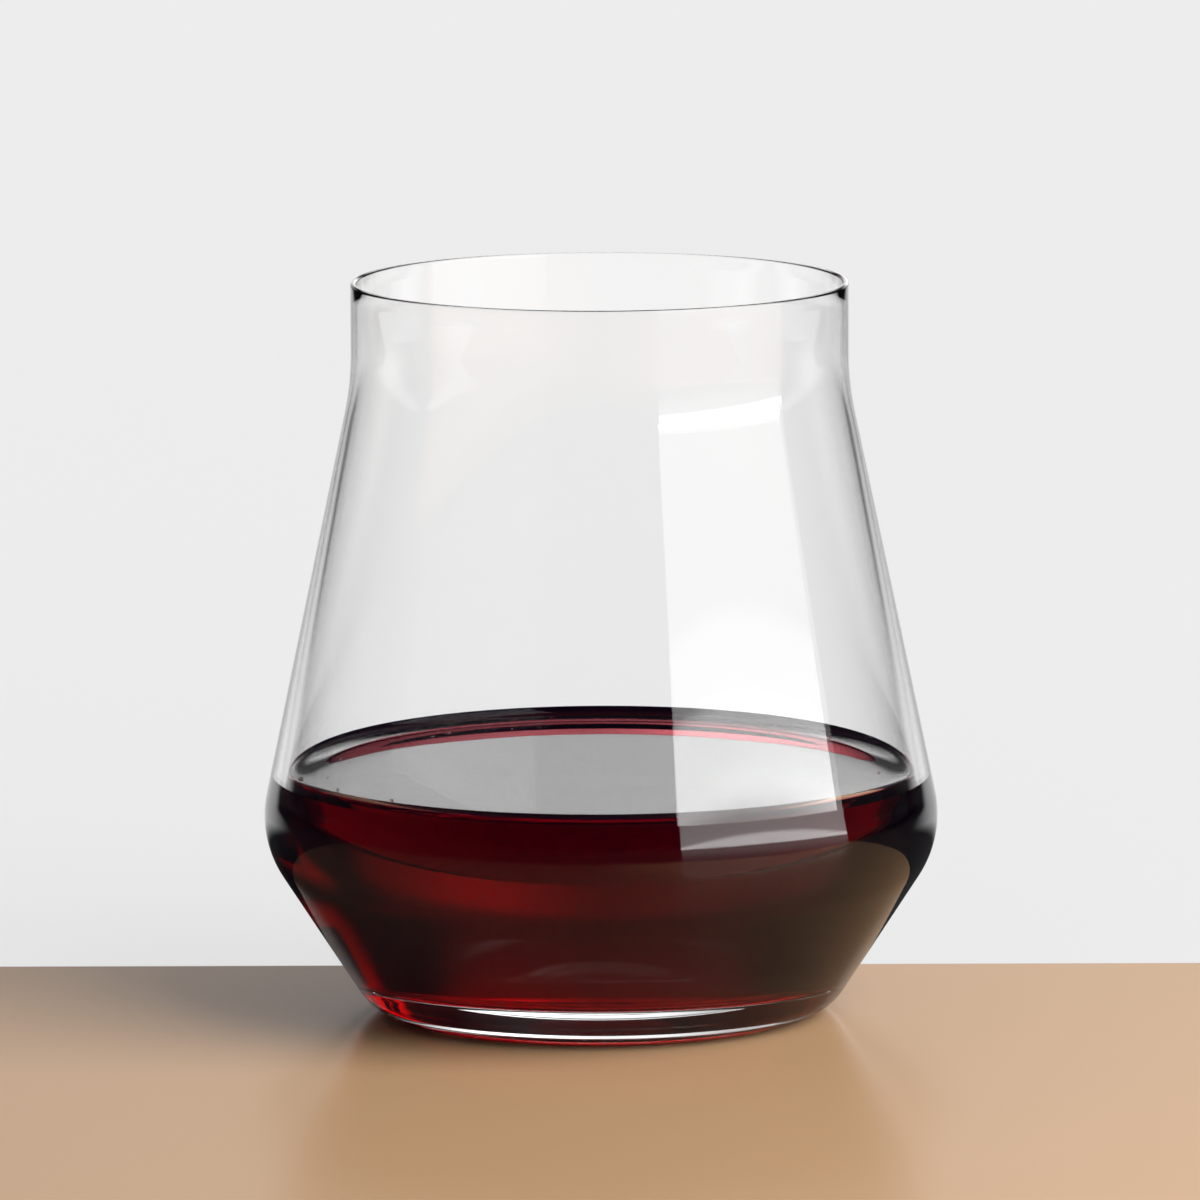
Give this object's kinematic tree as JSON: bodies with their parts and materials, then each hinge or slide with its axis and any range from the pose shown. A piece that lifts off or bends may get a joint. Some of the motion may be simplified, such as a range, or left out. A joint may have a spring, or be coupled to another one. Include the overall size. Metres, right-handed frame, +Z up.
{
  "type": "stemless wine glass",
  "caption": "Clear stemless wine glass with an upright lip, a conical shoulder, a wide low belly, a thick drawn-in base and a measure of red wine.",
  "frame": {"origin": "centre of the foot, on the surface that the glass stands on", "axes": "+Z up along the glass's axis of symmetry, from the foot to the lip; X and Y are alike, because the glass is round"},
  "size_m": [0.0964, 0.0962, 0.105],
  "materials": {
    "clear_glass": "clear lead-free crystal, blown and fire polished, with a smooth cut lip",
    "red_wine": "clear deep red liquid with a mirror-flat surface and a raised edge"
  },
  "bodies": {
    "glass": {"glass": "clear_glass"},
    "wine": {"red_wine": "red_wine"}
  },
  "joints": [
    {"name": "wine_swirl", "type": "hinge", "parent": "glass", "child": "wine", "pos_m": [0, 0, 0.02], "axis": [0, 0, 1], "continuous": true}
  ]
}
